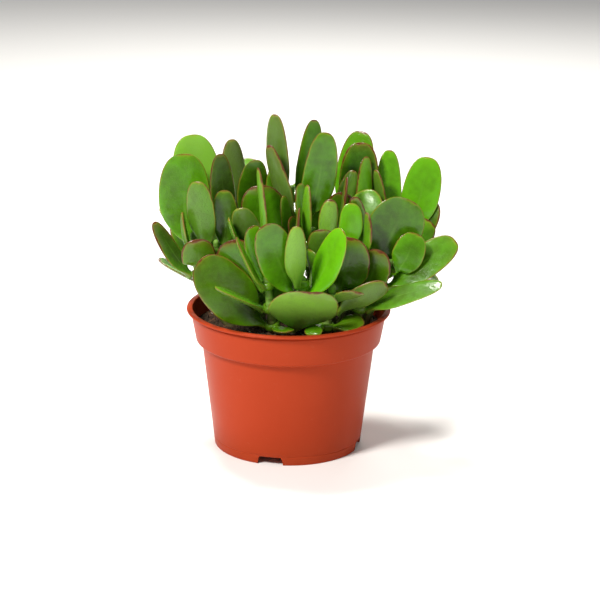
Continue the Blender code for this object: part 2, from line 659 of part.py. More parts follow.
def make_pair(name, collar, leaves, mat):
    """The clasping ring and its leaves as one body."""
    h = RING_HEIGHT / 2
    verts, index = [], {}

    def put(key, p):
        index[key] = len(verts)
        verts.append(p)

    for k in range(RING_SIDES):
        for level, swell in ((-h, 0), (0, RING_SWELL), (h, 0)):
            put(("o", k, level), collar.corner(k, level, swell))
        for level in (-h, h):
            put(("i", k, level), collar.corner(k, level, collar.bore - collar.outer))
    faces = []
    taken = {leaf.side for leaf in leaves}
    for k in range(RING_SIDES):
        n = (k + 1) % RING_SIDES
        faces.append([index["i", k, -h], index["i", n, -h], index["i", n, h], index["i", k, h]])
        for level in (-h, h):
            faces.append([index["o", k, level], index["o", n, level],
                          index["i", n, level], index["i", k, level]])
        if k in taken:
            continue
        for a, b in ((-h, 0), (0, h)):
            faces.append([index["o", k, a], index["o", n, a], index["o", n, b], index["o", k, b]])
    for leaf in leaves:
        k = leaf.side
        n = (k + 1) % RING_SIDES
        foot = [index["o", k, 0], index["o", k, h], index["o", n, h],
                index["o", n, 0], index["o", n, -h], index["o", k, -h]]
        rings, end = leaf_points(collar, leaf.side, leaf.tip, leaf.width * leaf.shrink,
                                 leaf.facing, leaf.twist)
        offset = len(verts)
        verts.extend(rings.reshape(-1, 3))
        verts.append(end)
        faces += leaf_faces(offset, foot, len(STATIONS))
    return solid(name, verts, faces, mat)


def make_stem(name, shoots, mat, extra=0.0):
    rods = []
    for shoot in shoots:
        line = LINES[shoot]
        v, f = tube(line, extra)
        rods.append(solid(name if not rods else "rod", v, f, mat))
    return combine(rods[0], rods[1:], "UNION") if len(rods) > 1 else rods[0]


def main():
    for ob in list(bpy.data.objects):
        bpy.data.objects.remove(ob)

    collars, leaves = {}, []
    for i, (shoot, z, first, second) in enumerate(PAIRS):
        collar = Collar(shoot, z, first[:3], second[:3] if second else None)
        collars[i] = collar
        leaves.append(Leaf(i, collar, 0, first))
        if second:
            leaves.append(Leaf(i, collar, collar.second, second))
    leaves = settle(leaves, obstacles(collars))

    make_pot()
    soil = make_soil()
    stem_mat = material("jade stem", (0.16, 0.17, 0.06), 0.6)
    leaf_mat = material("jade leaf", (0.06, 0.26, 0.035), 0.35)
    sockets = []
    for name, shoots in STEMS.items():
        make_stem("stem_" + name, shoots, stem_mat)
        sockets.append(make_stem("socket", shoots, None, extra=GAP))
    combine(soil, sockets, "DIFFERENCE")
    for i, collar in collars.items():
        shoot, z = PAIRS[i][0], PAIRS[i][1]
        own = [leaf for leaf in leaves if leaf.pair == i]
        make_pair(f"leaves_{shoot}{z}", collar, own, leaf_mat)

    pts = np.array([tuple(v.co) for ob in bpy.data.objects for v in ob.data.vertices])
    move = (pts.min(0) + pts.max(0)) / 2
    for ob in bpy.data.objects:
        for v in ob.data.vertices:
            v.co.x -= move[0]
            v.co.y -= move[1]
    print("moved by", move[:2] * 1000, "size", (pts.max(0) - pts.min(0)) * 1000)


main()
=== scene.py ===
"""A young jade plant, rooted in potting mix in a tapered terracotta-coloured plastic pot."""
import math

import bmesh
import bpy
import numpy as np
from mathutils import Matrix, Vector, noise


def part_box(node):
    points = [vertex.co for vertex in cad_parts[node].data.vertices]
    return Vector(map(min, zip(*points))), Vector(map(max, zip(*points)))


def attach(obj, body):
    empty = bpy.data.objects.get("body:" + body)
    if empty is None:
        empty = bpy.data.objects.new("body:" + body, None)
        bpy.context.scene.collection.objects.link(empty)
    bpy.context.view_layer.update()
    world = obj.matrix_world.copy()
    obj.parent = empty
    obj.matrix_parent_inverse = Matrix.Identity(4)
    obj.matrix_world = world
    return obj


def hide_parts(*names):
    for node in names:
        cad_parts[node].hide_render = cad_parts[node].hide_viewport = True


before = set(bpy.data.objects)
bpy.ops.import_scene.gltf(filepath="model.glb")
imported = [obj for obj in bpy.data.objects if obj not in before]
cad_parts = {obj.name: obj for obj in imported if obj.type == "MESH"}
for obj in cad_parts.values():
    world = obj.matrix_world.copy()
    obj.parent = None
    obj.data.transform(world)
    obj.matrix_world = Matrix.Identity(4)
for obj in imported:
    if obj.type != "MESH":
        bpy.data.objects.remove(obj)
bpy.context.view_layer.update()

# ------------------------------------------------------------------------ the pot
# A thin-walled nursery pot, injection moulded in semi-gloss terracotta plastic: a tapered
# body, a deep plain rim band and a narrow rolled lip. Four notches in the foot and four
# holes in the raised floor let water out.
MM = 0.001
pot_low, pot_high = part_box("pot")
axis_x, axis_y = (pot_low.x + pot_high.x) / 2, (pot_low.y + pot_high.y) / 2


def levels(node):
    """Largest and smallest distance from the pot's axis at each height of a node, in mm."""
    found = {}
    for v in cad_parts[node].data.vertices:
        r = math.hypot(v.co.x - axis_x, v.co.y - axis_y) / MM
        z = round(v.co.z / MM, 1)
        low, high = found.get(z, (r, r))
        found[z] = (min(low, r), max(high, r))
    return found


def finish_mesh(name, verts, faces):
    """A new object from points in mm, its doubles merged and its faces turned outwards."""
    mesh = bpy.data.meshes.new(name)
    mesh.from_pydata((np.asarray(verts, float) * MM).tolist(), [], faces)
    bm = bmesh.new()
    bm.from_mesh(mesh)
    bmesh.ops.remove_doubles(bm, verts=bm.verts, dist=1e-6)
    bmesh.ops.recalc_face_normals(bm, faces=bm.faces)
    if bm.calc_volume(signed=True) < 0:
        bmesh.ops.reverse_faces(bm, faces=bm.faces)
    bm.to_mesh(mesh)
    bm.free()
    mesh.polygons.foreach_set("use_smooth", [True] * len(mesh.polygons))
    ob = bpy.data.objects.new(name, mesh)
    bpy.context.scene.collection.objects.link(ob)
    return ob


def rounded(corners, steps=5):
    """A line of (radius, height, rounding) corners with each corner rounded."""
    out = []
    for i, (r, z, fillet) in enumerate(corners):
        p = np.array((r, z), float)
        if i in (0, len(corners) - 1) or fillet <= 0:
            out.append(tuple(p))
            continue
        before = np.array(corners[i - 1][:2], float) - p
        after = np.array(corners[i + 1][:2], float) - p
        reach = min(fillet, np.linalg.norm(before) * 0.45, np.linalg.norm(after) * 0.45)
        a = p + before / np.linalg.norm(before) * reach
        b = p + after / np.linalg.norm(after) * reach
        for k in range(steps + 1):
            t = k / steps
            out.append(tuple((1 - t) ** 2 * a + 2 * t * (1 - t) * p + t * t * b))
    return out


def spin(profile, sides, centre=(0.0, 0.0)):
    """Points and faces of a profile turned about an upright axis."""
    verts, faces = [], []
    for r, z in profile:
        for k in range(sides):
            a = 2 * math.pi * k / sides
            verts.append((centre[0] + r * math.cos(a), centre[1] + r * math.sin(a), z))
    for i in range(len(profile) - 1):
        for k in range(sides):
            n = (k + 1) % sides
            faces.append((i * sides + k, i * sides + n, (i + 1) * sides + n, (i + 1) * sides + k))
    return verts, faces


def cut(ob, cutters):
    """Cut the closed cutters out of ob and remove them."""
    for cutter in cutters:
        mod = ob.modifiers.new("cut", "BOOLEAN")
        mod.solver = "EXACT"
        mod.operation = "DIFFERENCE"
        mod.object = cutter
    graph = bpy.context.evaluated_depsgraph_get()
    mesh = bpy.data.meshes.new_from_object(ob.evaluated_get(graph))
    ob.modifiers.clear()
    ob.data = mesh
    for cutter in cutters:
        bpy.data.objects.remove(cutter)


def node_material(name):
    """A new material, its node tree and its Principled shader."""
    mat = bpy.data.materials.new(name)
    mat.use_nodes = True
    tree = mat.node_tree
    return mat, tree, tree.nodes["Principled BSDF"]


def add(tree, kind, **values):
    """A node with its properties and, by name, its inputs set or linked."""
    node = tree.nodes.new(kind)
    for key, value in values.items():
        if hasattr(node, key) and key not in node.inputs:
            setattr(node, key, value)
        else:
            join(tree, value, node.inputs[key.replace("_", " ")])
    return node


def join(tree, value, socket):
    """Link a socket or node to a socket, or set a plain value on it."""
    if isinstance(value, bpy.types.NodeSocket):
        tree.links.new(value, socket)
    elif isinstance(value, bpy.types.Node):
        tree.links.new(value.outputs[0], socket)
    else:
        socket.default_value = value


def maths(tree, operation, a, b=0.0, clamp=False):
    """One sum on two values, kept within 0 to 1 if clamp."""
    node = tree.nodes.new("ShaderNodeMath")
    node.operation = operation
    node.use_clamp = clamp
    join(tree, a, node.inputs[0])
    join(tree, b, node.inputs[1])
    return node.outputs[0]


def step(tree, value, low, high, out_low=0.0, out_high=1.0):
    """A soft step: out_low below low, out_high above high."""
    node = tree.nodes.new("ShaderNodeMapRange")
    node.interpolation_type = "SMOOTHSTEP"
    for socket, v in zip(node.inputs, (value, low, high, out_low, out_high)):
        join(tree, v, socket)
    return node.outputs[0]


def mixed(tree, share, a, b):
    """Two colours mixed by a share from 0 to 1."""
    node = tree.nodes.new("ShaderNodeMix")
    node.data_type = "RGBA"
    node.clamp_factor = True
    join(tree, share, node.inputs[0])
    for value, socket in ((a, node.inputs[6]), (b, node.inputs[7])):
        join(tree, (*value, 1.0) if isinstance(value, tuple) and len(value) == 3 else value, socket)
    return node.outputs[2]


def mottle_group():
    """Soft uneven patches and fine grain on any surface, both about 0 to 1."""
    group = bpy.data.node_groups.new("mottle", "ShaderNodeTree")
    for name, value in (("Patch Scale", 60.0), ("Grain Scale", 900.0), ("Shift", 0.0)):
        socket = group.interface.new_socket(name, in_out="INPUT", socket_type="NodeSocketFloat")
        socket.default_value = value
    for name in ("Patches", "Grain"):
        group.interface.new_socket(name, in_out="OUTPUT", socket_type="NodeSocketFloat")
    inside = group.nodes.new("NodeGroupInput")
    outside = group.nodes.new("NodeGroupOutput")
    place = group.nodes.new("ShaderNodeTexCoord").outputs["Object"]
    moved = group.nodes.new("ShaderNodeVectorMath")
    moved.operation = "ADD"
    group.links.new(place, moved.inputs[0])
    group.links.new(inside.outputs["Shift"], moved.inputs[1])
    for source, target, detail in (("Patch Scale", "Patches", 3.0), ("Grain Scale", "Grain", 2.0)):
        tex = group.nodes.new("ShaderNodeTexNoise")
        tex.inputs["Detail"].default_value = detail
        group.links.new(moved.outputs[0], tex.inputs["Vector"])
        group.links.new(inside.outputs[source], tex.inputs["Scale"])
        group.links.new(tex.outputs["Fac"], outside.inputs[target])
    return group


mottle = mottle_group()


def mottled(tree, patch, grain, shift=0.0):
    """The mottle group in a material: its patches and its grain."""
    node = tree.nodes.new("ShaderNodeGroup")
    node.node_tree = mottle
    for name, value in (("Patch Scale", patch), ("Grain Scale", grain), ("Shift", shift)):
        join(tree, value, node.inputs[name])
    return node.outputs["Patches"], node.outputs["Grain"]


def bumped(tree, shader, height, distance, strength=1.0):
    """Fine relief on a shader, its depth in metres."""
    node = tree.nodes.new("ShaderNodeBump")
    node.inputs["Distance"].default_value = distance
    node.inputs["Strength"].default_value = strength
    join(tree, height, node.inputs["Height"])
    tree.links.new(node.outputs[0], shader.inputs["Normal"])


pot_levels = levels("pot")
pot_top = pot_high.z / MM
lip_radius = (pot_high.x - pot_low.x) / 2 / MM
lip_under = pot_top - 1.3
foot_z, body_top_z, band_foot_z = 0.4, 54.6, 57.0
pot_wall = 1.2
floor_under, floor_top = 5.0, 6.3
heights = sorted(pot_levels)


def outer_at(z):
    """The pot's outer radius at the solid's level nearest to a height."""
    return pot_levels[min(heights, key=lambda h: abs(h - z))][1]


foot_radius, body_top = outer_at(foot_z), outer_at(body_top_z)
band_foot, band_top = outer_at(band_foot_z + 0.4), outer_at(lip_under - 0.3)
foot_inner = pot_levels[0.0][0]
lip_inner = pot_levels[min(heights, key=lambda h: abs(h - (pot_top - 0.4)))][0]


def body_outer(z):
    """Outer radius of the tapered body at a height."""
    return foot_radius + (body_top - foot_radius) * (z - foot_z) / (body_top_z - foot_z)


def inner_wall(z):
    """Inner radius of the pot's wall above its floor."""
    if z > band_foot_z:
        up_band = (z - band_foot_z) / (lip_under - band_foot_z)
        return band_foot + (band_top - band_foot) * up_band - pot_wall
    return min(body_outer(z), body_top) - pot_wall


inner_ledge_z = 54.0
pot_profile = rounded([
    (0.02, floor_under, 0), (foot_inner - 0.2, floor_under, 0.8), (foot_inner, 0.0, 0.4),
    (foot_radius - 0.02, 0.0, 0.5),
    (body_outer(4.3), 4.3, 0.1), (body_outer(4.6) - 0.22, 4.6, 0.15), (body_outer(5.0), 5.0, 0.1),
    (body_top + 0.05, 55.3, 0.7), (band_foot - 0.15, 56.3, 0.7), (band_foot + 0.1, 57.9, 0.3),
    (band_top - 0.12, lip_under - 1.5, 0.3), (band_top - 0.55, lip_under - 0.75, 0.3),
    (band_top - 0.45, lip_under - 0.15, 0.25), (lip_radius - 0.15, lip_under + 0.05, 0.55),
    (lip_radius, lip_under + 0.6, 0.4), (lip_radius - 0.35, pot_top - 0.02, 0.6),
    (lip_inner + 0.2, pot_top - 0.02, 0.5), (lip_inner - 0.1, pot_top - 1.1, 0.5),
    (band_foot - pot_wall, band_foot_z, 1.0), (body_top - pot_wall, inner_ledge_z, 1.0),
    (body_outer(floor_top) - pot_wall, floor_top, 1.0), (0.02, floor_top, 0),
])
pot_sides = 144
verts, faces = spin(pot_profile, pot_sides, (axis_x / MM, axis_y / MM))
pot = finish_mesh("nursery_pot", verts, faces)
cutters = []
notch_bearings, drain_bearings = (-103.0, -13.0, 77.0, 167.0), (-58.0, 32.0, 122.0, 212.0)
drain_circle, drain_radius = 24.0, 4.0
for bearing in notch_bearings:
    # A rounded trapezoid notch, wider at the foot's edge.
    a = math.radians(bearing)
    along, across = np.array((math.cos(a), math.sin(a))), np.array((-math.sin(a), math.cos(a)))
    outline = [(-6.9, -1.0), (6.9, -1.0), (6.2, 3.0)]
    outline += [(4.9 + 0.9 * math.cos(t), 3.5 + 0.9 * math.sin(t)) for t in (0.4, 0.9, 1.4)]
    outline += [(-4.9 - 0.9 * math.cos(t), 3.5 + 0.9 * math.sin(t)) for t in (1.4, 0.9, 0.4)]
    outline += [(-6.2, 3.0)]
    shape = []
    for reach in (foot_radius - 4.0, foot_radius + 4.0):
        for w, z in outline:
            x, y = along * reach + across * w
            shape.append((axis_x / MM + x, axis_y / MM + y, z))
    n = len(outline)
    sides = [(k, (k + 1) % n, n + (k + 1) % n, n + k) for k in range(n)]
    cutters.append(finish_mesh("notch", shape, sides + [tuple(range(n)), tuple(range(n, 2 * n))]))
for bearing in drain_bearings:
    a = math.radians(bearing)
    centre = (axis_x / MM + drain_circle * math.cos(a), axis_y / MM + drain_circle * math.sin(a))
    rod = [(0.001, floor_under - 1), (drain_radius, floor_under - 1),
           (drain_radius, floor_top + 1), (0.001, floor_top + 1)]
    verts, faces = spin(rod, 32, centre)
    cutters.append(finish_mesh("drain", verts, faces))
cut(pot, cutters)
pot.data.polygons.foreach_set("use_smooth", [True] * len(pot.data.polygons))
pot.data.set_sharp_from_angle(angle=math.radians(38))

terracotta, tree, shader = node_material("terracotta_plastic")
patches, grain = mottled(tree, 22.0, 1500.0)
place = add(tree, "ShaderNodeTexCoord").outputs["Object"]
split = add(tree, "ShaderNodeSeparateXYZ", Vector=place)
base = mixed(tree, patches, (0.345, 0.037, 0.0105), (0.405, 0.047, 0.0135))
low = step(tree, split.outputs["Z"], 0.0, 0.02, 0.35, 0.0)
base = mixed(tree, low, base, (0.32, 0.045, 0.012))
streak = add(tree, "ShaderNodeTexNoise", Vector=place, Scale=340.0, Detail=3.0)
scuff = step(tree, streak.outputs["Fac"], 0.66, 0.74, 0.0, 0.18)
base = mixed(tree, scuff, base, (0.40, 0.08, 0.04))
join(tree, base, shader.inputs["Base Color"])
join(tree, step(tree, patches, 0.3, 0.7, 0.36, 0.46), shader.inputs["Roughness"])
shader.inputs["Specular IOR Level"].default_value = 0.07
bumped(tree, shader, grain, 0.00004, 0.6)
pot.data.materials.clear()
pot.data.materials.append(terracotta)
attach(pot, "root")
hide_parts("pot")

# ----------------------------------------------------------------- the potting mix
# Damp peat and bark mix that fills the pot to about a centimetre under its lip, slightly
# crowned. The bed is one closed body; loose crumbs, bark bits and perlite lie on it.
bed_crown, wall_gap = 1.6, 0.3
bed_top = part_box("soil")[1].z / MM - 2.4


def bed_height(x, y):
    """Height of the crowned, lumpy bed, in mm from the pot's axis."""
    r = min(math.hypot(x, y) / inner_wall(bed_top), 1.0)
    lumps = 0.8 * noise.noise(Vector((x * 0.11, y * 0.11, 3.0)))
    lumps += 0.35 * noise.noise(Vector((x * 0.42, y * 0.42, 9.0)))
    return bed_top + bed_crown * (1 - r * r) + lumps


bed_radius = inner_wall(bed_top) - wall_gap
bed_rings, bed_sides = 44, 160
rings = [bed_radius * k / bed_rings for k in range(1, bed_rings + 1)]
verts, faces = [(axis_x / MM, axis_y / MM, bed_height(0, 0))], []
for r in rings:
    for k in range(bed_sides):
        a = 2 * math.pi * k / bed_sides
        x, y = r * math.cos(a), r * math.sin(a)
        verts.append((axis_x / MM + x, axis_y / MM + y, bed_height(x, y)))
bed_bottom = floor_top + 0.4
for z in (band_foot_z + 0.2, inner_ledge_z, bed_bottom):
    r = inner_wall(z) - wall_gap
    for k in range(bed_sides):
        a = 2 * math.pi * k / bed_sides
        verts.append((axis_x / MM + r * math.cos(a), axis_y / MM + r * math.sin(a), z))
verts.append((axis_x / MM, axis_y / MM, bed_bottom))
for k in range(bed_sides):
    n = (k + 1) % bed_sides
    faces.append((0, 1 + k, 1 + n))
    for i in range(len(rings) + 2):
        a, b = 1 + i * bed_sides, 1 + (i + 1) * bed_sides
        faces.append((a + k, b + k, b + n, a + n))
    last = 1 + (len(rings) + 2) * bed_sides
    faces.append((last + k, len(verts) - 1, last + n))
bed = finish_mesh("soil_bed", verts, faces)

potting_mix, tree, shader = node_material("potting_soil")
patches, grain = mottled(tree, 240.0, 1400.0)
place = add(tree, "ShaderNodeTexCoord").outputs["Object"]
crumbs = add(tree, "ShaderNodeTexVoronoi", Vector=place, Scale=520.0)
base = mixed(tree, patches, (0.020, 0.011, 0.006), (0.075, 0.040, 0.022))
base = mixed(tree, step(tree, grain, 0.60, 0.75, 0.0, 0.5), base, (0.16, 0.095, 0.05))
join(tree, base, shader.inputs["Base Color"])
join(tree, step(tree, grain, 0.3, 0.7, 0.80, 0.96), shader.inputs["Roughness"])
shader.inputs["Specular IOR Level"].default_value = 0.35
bumped(tree, shader, maths(tree, "ADD", crumbs.outputs["Distance"], grain), 0.0006)
bed.data.materials.append(potting_mix)
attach(bed, "root")
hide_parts("soil")


def lump(name, radii, seed, fineness=1):
    """A small irregular bit about its own centre."""
    bm = bmesh.new()
    bmesh.ops.create_icosphere(bm, subdivisions=fineness, radius=1.0)
    for v in bm.verts:
        dent = 1.0 + 0.35 * noise.noise(v.co * 1.4 + Vector((seed, 0.0, 0.0)))
        v.co = Vector((v.co.x * radii[0], v.co.y * radii[1], v.co.z * radii[2])) * dent * MM
    mesh = bpy.data.meshes.new(name)
    bm.to_mesh(mesh)
    bm.free()
    ob = bpy.data.objects.new(name, mesh)
    bpy.context.scene.collection.objects.link(ob)
    return ob


def scatter(name, bit, mat, density, least, most, seed, clearance):
    """Bits strewn over the bed's top, clear of the wall, by a node tree, as one plain mesh."""
    group = bpy.data.node_groups.new(name, "GeometryNodeTree")
    group.interface.new_socket("Geometry", in_out="INPUT", socket_type="NodeSocketGeometry")
    sockets = {}
    for label, kind in (("Density", "Float"), ("Least Size", "Float"), ("Most Size", "Float"),
                        ("Seed", "Int"), ("Bit", "Object"), ("Finish", "Material")):
        sockets[label] = group.interface.new_socket(
            label, in_out="INPUT", socket_type="NodeSocket" + kind)
    group.interface.new_socket("Geometry", in_out="OUTPUT", socket_type="NodeSocketGeometry")
    inside = group.nodes.new("NodeGroupInput").outputs
    points = group.nodes.new("GeometryNodeDistributePointsOnFaces")
    join(group, inside["Geometry"], points.inputs["Mesh"])
    join(group, inside["Density"], points.inputs["Density"])
    join(group, inside["Seed"], points.inputs["Seed"])
    turn = group.nodes.new("FunctionNodeRandomValue")
    turn.data_type = "FLOAT_VECTOR"
    turn.inputs[1].default_value = (math.tau, math.tau, math.tau)
    join(group, inside["Seed"], turn.inputs["Seed"])
    size = group.nodes.new("FunctionNodeRandomValue")
    size.data_type = "FLOAT"
    join(group, inside["Least Size"], size.inputs[2])
    join(group, inside["Most Size"], size.inputs[3])
    join(group, inside["Seed"], size.inputs["Seed"])
    bit_info = group.nodes.new("GeometryNodeObjectInfo")
    join(group, inside["Bit"], bit_info.inputs["Object"])
    instances = group.nodes.new("GeometryNodeInstanceOnPoints")
    join(group, points.outputs["Points"], instances.inputs["Points"])
    join(group, bit_info.outputs["Geometry"], instances.inputs["Instance"])
    join(group, turn.outputs[0], instances.inputs["Rotation"])
    join(group, size.outputs[1], instances.inputs["Scale"])
    real = group.nodes.new("GeometryNodeRealizeInstances")
    join(group, instances.outputs[0], real.inputs[0])
    paint = group.nodes.new("GeometryNodeSetMaterial")
    join(group, real.outputs[0], paint.inputs["Geometry"])
    join(group, inside["Finish"], paint.inputs["Material"])
    out = group.nodes.new("NodeGroupOutput")
    join(group, paint.outputs[0], out.inputs[0])

    host = bpy.data.objects.new(name, bed.data.copy())
    bpy.context.scene.collection.objects.link(host)
    bm = bmesh.new()
    bm.from_mesh(host.data)
    clear = (bed_radius - clearance) * MM
    beyond = [f for f in bm.faces if f.calc_center_median().z < (bed_top - 3.0) * MM
              or any(math.hypot(v.co.x - axis_x, v.co.y - axis_y) > clear for v in f.verts)]
    bmesh.ops.delete(bm, geom=beyond, context="FACES")
    bm.to_mesh(host.data)
    bm.free()
    mod = host.modifiers.new("strewn", "NODES")
    mod.node_group = group
    for label, value in (("Density", density), ("Least Size", least), ("Most Size", most),
                         ("Seed", seed), ("Bit", bit), ("Finish", mat)):
        mod[sockets[label].identifier] = value
    graph = bpy.context.evaluated_depsgraph_get()
    mesh = bpy.data.meshes.new_from_object(host.evaluated_get(graph))
    host.modifiers.clear()
    host.data = mesh
    bpy.data.objects.remove(bit)
    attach(host, "root")
    return host


crumb_mat, tree, shader = node_material("bark_crumbs")
patches, grain = mottled(tree, 150.0, 1800.0)
base = mixed(tree, step(tree, patches, 0.35, 0.65), (0.028, 0.015, 0.008), (0.13, 0.065, 0.030))
base = mixed(tree, step(tree, grain, 0.58, 0.74, 0.0, 0.6), base, (0.22, 0.13, 0.07))
join(tree, base, shader.inputs["Base Color"])
join(tree, step(tree, grain, 0.3, 0.7, 0.75, 0.95), shader.inputs["Roughness"])
bumped(tree, shader, grain, 0.0003)
perlite_mat, tree, shader = node_material("perlite")
patches, grain = mottled(tree, 300.0, 2600.0)
join(tree, mixed(tree, patches, (0.50, 0.44, 0.34), (0.78, 0.73, 0.64)), shader.inputs["Base Color"])
join(tree, step(tree, grain, 0.3, 0.7, 0.7, 0.95), shader.inputs["Roughness"])
bumped(tree, shader, grain, 0.0003)
scatter("soil_crumbs", lump("crumb", (0.9, 0.7, 0.5), 2.0), crumb_mat, 330000.0, 0.35, 1.1, 3, 1.0)
scatter("bark_bits", lump("bark", (2.0, 1.0, 0.6), 5.0), crumb_mat, 45000.0, 0.5, 1.2, 8, 2.6)
scatter("perlite_bits", lump("perlite", (0.9, 0.8, 0.8), 7.0, 2), perlite_mat, 11000.0, 0.35, 0.9, 5, 1.2)

# ---------------------------------------------------------------------- the stems
# Forked shoots of the plant itself: thick, fleshy, round in section, grey-brown and ringed
# with old leaf scars low down, smooth and green near the top.
stem_skin, tree, shader = node_material("jade_stem")
patches, grain = mottled(tree, 130.0, 1300.0)
place = add(tree, "ShaderNodeTexCoord").outputs["Object"]
split = add(tree, "ShaderNodeSeparateXYZ", Vector=place)
height = maths(tree, "ADD", split.outputs["Z"], maths(tree, "MULTIPLY", patches, 0.03))
young = step(tree, height, 0.076, 0.100)
base = mixed(tree, young, (0.105, 0.085, 0.030), (0.15, 0.34, 0.030))
base = mixed(tree, step(tree, grain, 0.45, 0.75, 0.0, 0.45), base, (0.30, 0.27, 0.12))
ring_place = add(tree, "ShaderNodeCombineXYZ", X=0.0, Y=0.0, Z=split.outputs["Z"])
scars = add(tree, "ShaderNodeTexWave", Vector=ring_place, Scale=28.0, Distortion=0.6, Detail=1.0)
scars.bands_direction = "Z"
scar_line = step(tree, scars.outputs["Fac"], 0.90, 0.99)
scar_mask = maths(tree, "MULTIPLY", scar_line, step(tree, young, 0.0, 1.0, 0.6, 0.1))
base = mixed(tree, scar_mask, base, (0.055, 0.028, 0.014))
join(tree, base, shader.inputs["Base Color"])
join(tree, step(tree, grain, 0.3, 0.7, 0.48, 0.66), shader.inputs["Roughness"])
uneven = maths(tree, "ADD", maths(tree, "MULTIPLY", scar_line, -0.6), grain)
bumped(tree, shader, uneven, 0.00035)
for name in sorted(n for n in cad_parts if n.startswith("stem_")):
    stem = bpy.data.objects.new(name.replace("stem_", "shoots_"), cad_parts[name].data.copy())
    bpy.context.scene.collection.objects.link(stem)
    bm = bmesh.new()
    bm.from_mesh(stem.data)
    bmesh.ops.remove_doubles(bm, verts=bm.verts, dist=1e-6)
    bm.to_mesh(stem.data)
    bm.free()
    grid = stem.modifiers.new("grid", "REMESH")
    grid.mode = "VOXEL"
    grid.voxel_size = 0.00055
    grid.use_smooth_shade = True
    even = stem.modifiers.new("even", "SMOOTH")
    even.factor = 0.5
    even.iterations = 6
    graph = bpy.context.evaluated_depsgraph_get()
    mesh = bpy.data.meshes.new_from_object(stem.evaluated_get(graph))
    stem.modifiers.clear()
    stem.data = mesh
    mesh.materials.clear()
    mesh.materials.append(stem_skin)
    mesh.polygons.foreach_set("use_smooth", [True] * len(mesh.polygons))
    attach(stem, "root")
    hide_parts(name)

# --------------------------------------------------------------------- the leaves
# Opposite pairs of thick, spoon-shaped, fleshy leaves. Each pair is one growth: two leaves
# joined by a swollen ring round the shoot. The skin is waxy: glossy green above, paler and
# finely dotted below, with a thin red-brown margin where the sun has caught it.
leaf_skin, tree, shader = node_material("jade_leaf")


def trait(name):
    """A value stored on the leaf's points, read in the material."""
    node = tree.nodes.new("ShaderNodeAttribute")
    node.attribute_name = name
    return node.outputs["Fac"]


rim, along, under = trait("rim_mm"), trait("along"), trait("under")
tone, warmth, greyness, blush = trait("tone"), trait("warmth"), trait("greyness"), trait("blush")
across = trait("across")
patches, grain = mottled(tree, 75.0, 1500.0, trait("own"))
fine_patches, _ = mottled(tree, 330.0, 4200.0, trait("own"))
uneven_tone = maths(tree, "ADD", tone, step(tree, patches, 0.25, 0.75, -0.15, 0.13))
uneven_tone = maths(tree, "ADD", uneven_tone, step(tree, fine_patches, 0.3, 0.7, -0.07, 0.07))
uneven_tone = maths(tree, "ADD", uneven_tone, step(tree, along, 0.0, 0.30, 0.16, 0.0))
# Lighter towards the margins: painted light glowing through the thin edge of the leaf.
painted_edge_glow = step(tree, rim, 0.5, 4.5, 0.16, 0.0)
uneven_tone = maths(tree, "ADD", uneven_tone, painted_edge_glow, clamp=True)
uneven_tone = maths(tree, "POWER", uneven_tone, 1.45)
upper = mixed(tree, uneven_tone, (0.0085, 0.026, 0.0006), (0.102, 0.40, 0.004))
upper = mixed(tree, maths(tree, "MULTIPLY", warmth, 0.55), upper, (0.19, 0.36, 0.006))
upper = mixed(tree, maths(tree, "MULTIPLY", greyness, 0.55), upper, (0.068, 0.115, 0.022))
# Past a tone of 1 the leaf pales: painted light that brightens the leaves set brightest.
upper = mixed(tree, step(tree, tone, 1.0, 1.30), upper, (0.25, 0.52, 0.055))
midrib = step(tree, maths(tree, "ABSOLUTE", across), 0.015, 0.085, 0.20, 0.0)
midrib = maths(tree, "MULTIPLY", midrib, step(tree, along, 0.55, 0.9, 1.0, 0.0))
upper = mixed(tree, midrib, upper, (0.20, 0.42, 0.05))
lower = mixed(tree, 0.30, upper, (0.085, 0.17, 0.012))
lower = mixed(tree, maths(tree, "MULTIPLY", greyness, 0.5), lower, (0.15, 0.21, 0.045))
place = add(tree, "ShaderNodeTexCoord").outputs["Object"]
dots = add(tree, "ShaderNodeTexVoronoi", Vector=place, Scale=1500.0)
dot = step(tree, dots.outputs["Distance"], 0.18, 0.38, 1.0, 0.0)
lower = mixed(tree, maths(tree, "MULTIPLY", dot, 0.55), lower, (0.07, 0.14, 0.020))
skin = mixed(tree, under, upper, lower)
skin = mixed(tree, maths(tree, "MULTIPLY", dot, 0.10), skin, (0.25, 0.42, 0.07))
# The red-brown margin widens towards the tip and is uneven along its length.
wander = step(tree, fine_patches, 0.30, 0.70, 0.55, 1.35)
reach = maths(tree, "MULTIPLY", maths(tree, "MULTIPLY", blush, wander),
              step(tree, along, 0.30, 0.92, 0.10, 1.0))
width = maths(tree, "ADD", maths(tree, "MULTIPLY", reach, 0.80), 0.06)
inside_edge = maths(tree, "SUBTRACT", rim, width)
# A light yellow line just inside the margin: partly the leaf's own yellow band, partly a painted highlight
# along the edge.
yellow_line_and_sheen = step(tree, inside_edge, 0.0, 0.7, 0.40, 0.0)
skin = mixed(tree, maths(tree, "MULTIPLY", yellow_line_and_sheen, step(tree, reach, 0.0, 0.5, 0.5, 1.0)),
             skin, (0.33, 0.33, 0.03))
red = mixed(tree, step(tree, reach, 0.15, 0.8), (0.20, 0.11, 0.015), (0.11, 0.018, 0.008))
edge_mask = step(tree, inside_edge, -0.30, 0.22, 1.0, 0.0)
skin = mixed(tree, maths(tree, "MULTIPLY", edge_mask, step(tree, reach, 0.0, 0.40, 0.20, 0.95)),
             skin, red)
flush = maths(tree, "MULTIPLY", step(tree, rim, 0.0, 4.2, 0.55, 0.0), step(tree, along, 0.55, 1.0))
flush = maths(tree, "MULTIPLY", flush, maths(tree, "MULTIPLY", blush, blush))
skin = mixed(tree, flush, skin, (0.12, 0.035, 0.010))
join(tree, skin, shader.inputs["Base Color"])
